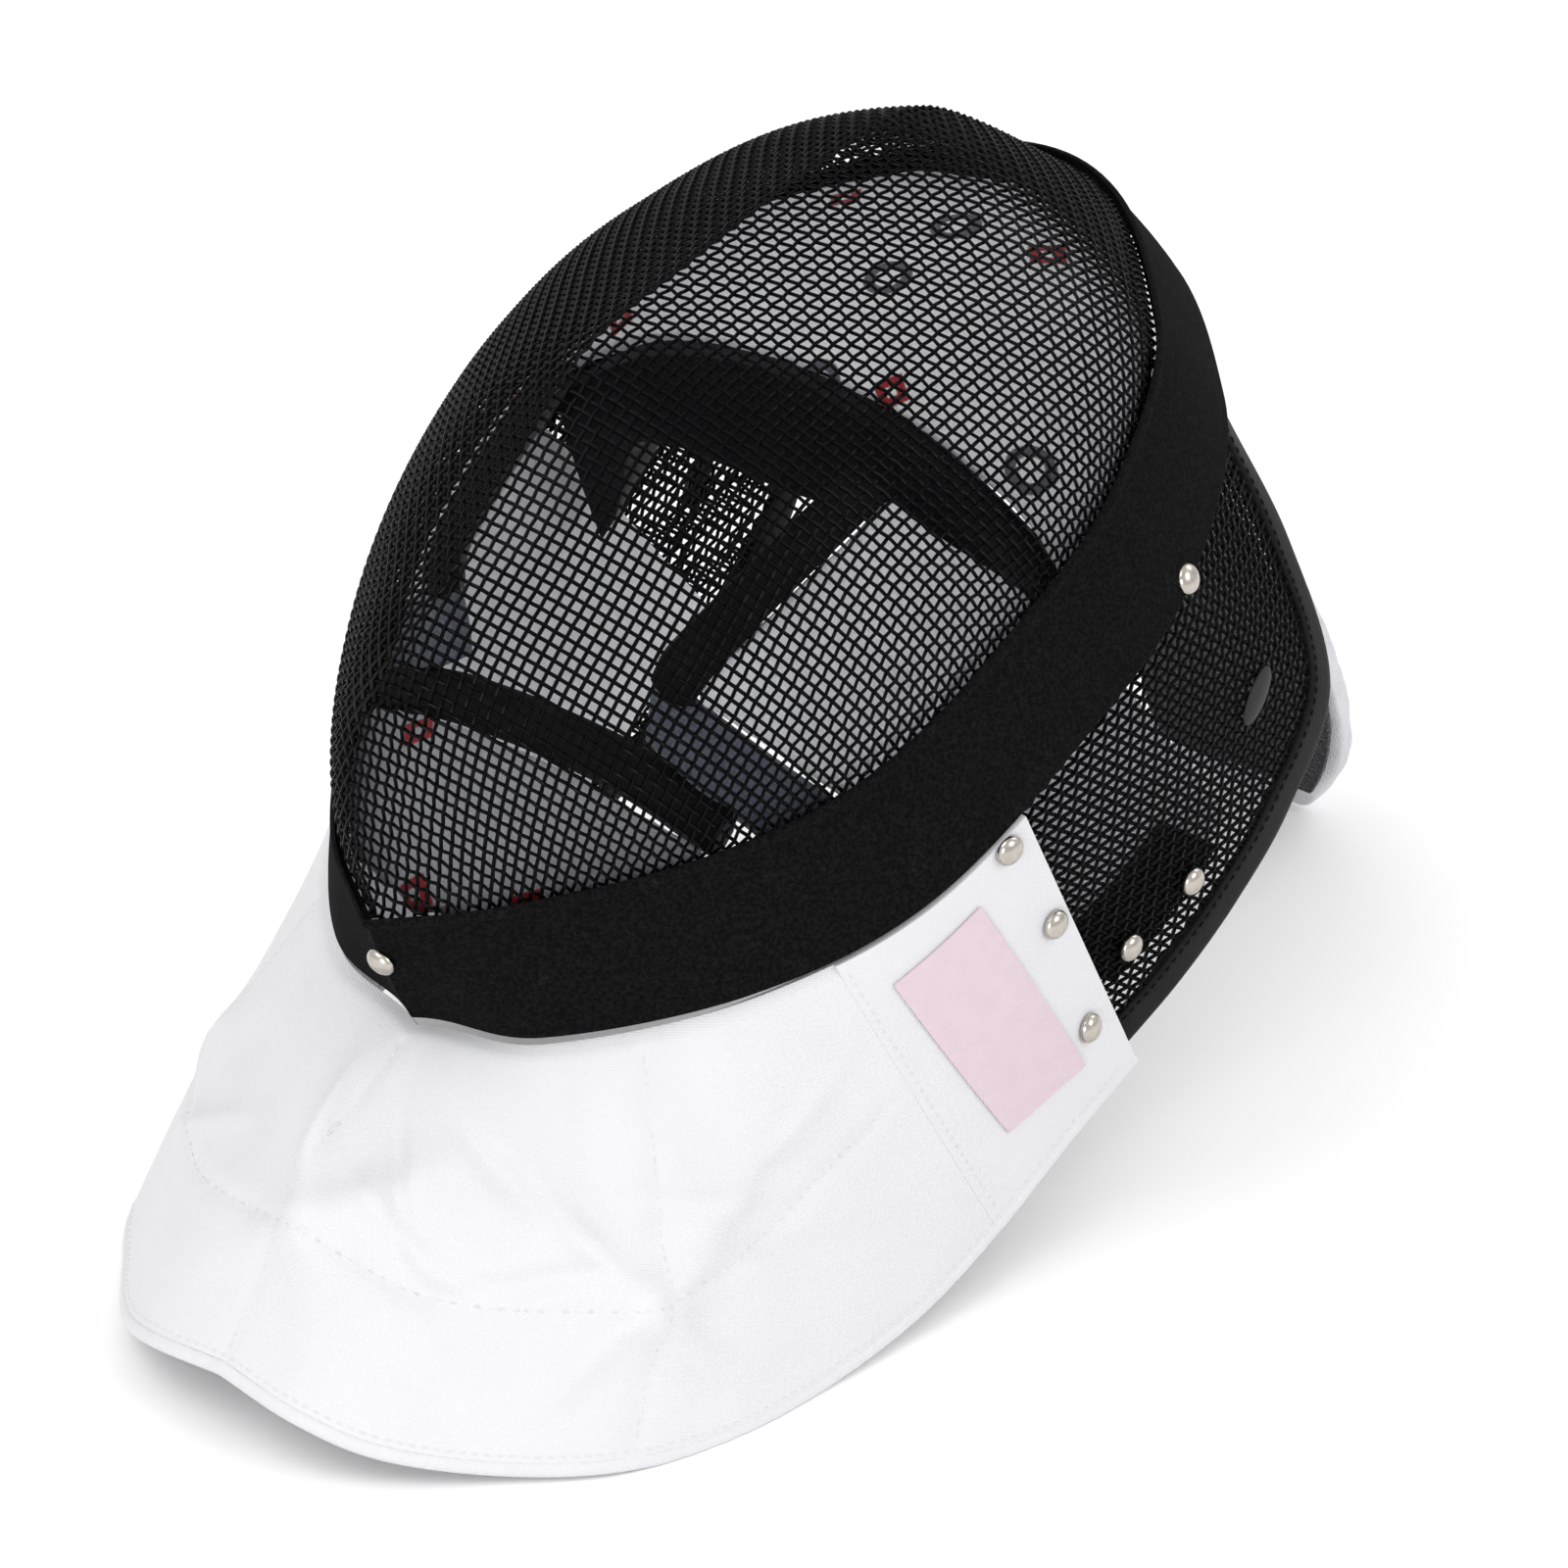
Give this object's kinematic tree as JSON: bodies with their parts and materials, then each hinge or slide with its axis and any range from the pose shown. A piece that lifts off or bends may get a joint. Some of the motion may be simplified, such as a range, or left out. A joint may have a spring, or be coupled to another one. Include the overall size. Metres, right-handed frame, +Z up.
{
  "type": "fencing mask",
  "caption": "Fencing mask with a black wire mesh face, a suede trim band, side mesh, a white neck bib, inner padding and a rear tongue.",
  "frame": {"origin": "on the surface that the mask rests on, under the middle of its bounding box", "axes": "+X to the wearer's left, -Y the way the face points along the surface, +Z up"},
  "size_m": [0.2314, 0.4616, 0.2885],
  "materials": {
    "mesh_black": "black enamelled woven steel wire",
    "suede_black": "napped black suede cloth",
    "binding_black": "smooth black binding tape",
    "satin_white": "white satin weave with soft folds",
    "label_pink": "plain pale pink patch, bare",
    "lining_white": "white padded knit with a sparse plain print",
    "lining_navy": "dark navy towelling",
    "nickel": "polished nickel domes",
    "cap_black": "satin black plastic cap"
  },
  "bodies": {
    "root": {"bib": "satin_white", "bib_hem": "satin_white", "bib_tab_left": "satin_white", "bib_tab_right": "satin_white", "cheek_binding_left": "binding_black", "cheek_binding_right": "binding_black", "cheek_gusset_left": "lining_navy", "cheek_gusset_right": "lining_navy", "cheek_pad_left": "lining_white", "cheek_pad_right": "lining_white", "chin_binding": "binding_black", "chin_pad": "lining_white", "chin_rivet": "nickel", "edge_binding_left": "binding_black", "edge_binding_right": "binding_black", "forehead_binding": "binding_black", "forehead_pad": "lining_white", "front_mesh": "mesh_black", "label_patch": "label_pink", "side_cap_left": "cap_black", "side_cap_right": "cap_black", "side_lining_left": "lining_white", "side_lining_right": "lining_white", "side_mesh_left": "mesh_black", "side_mesh_right": "mesh_black", "strap_anchor_left": "binding_black", "strap_anchor_right": "binding_black", "strap_rivet_lower_left": "nickel", "strap_rivet_lower_right": "nickel", "strap_rivet_upper_left": "nickel", "strap_rivet_upper_right": "nickel", "tab_rivet_front_left": "nickel", "tab_rivet_front_right": "nickel", "tab_rivet_middle_left": "nickel", "tab_rivet_middle_right": "nickel", "tab_rivet_rear_left": "nickel", "tab_rivet_rear_right": "nickel", "temple_rivet_left": "nickel", "temple_rivet_right": "nickel", "tongue": "lining_white", "tongue_lining": "lining_navy", "trim_band": "suede_black"}
  },
  "joints": []
}
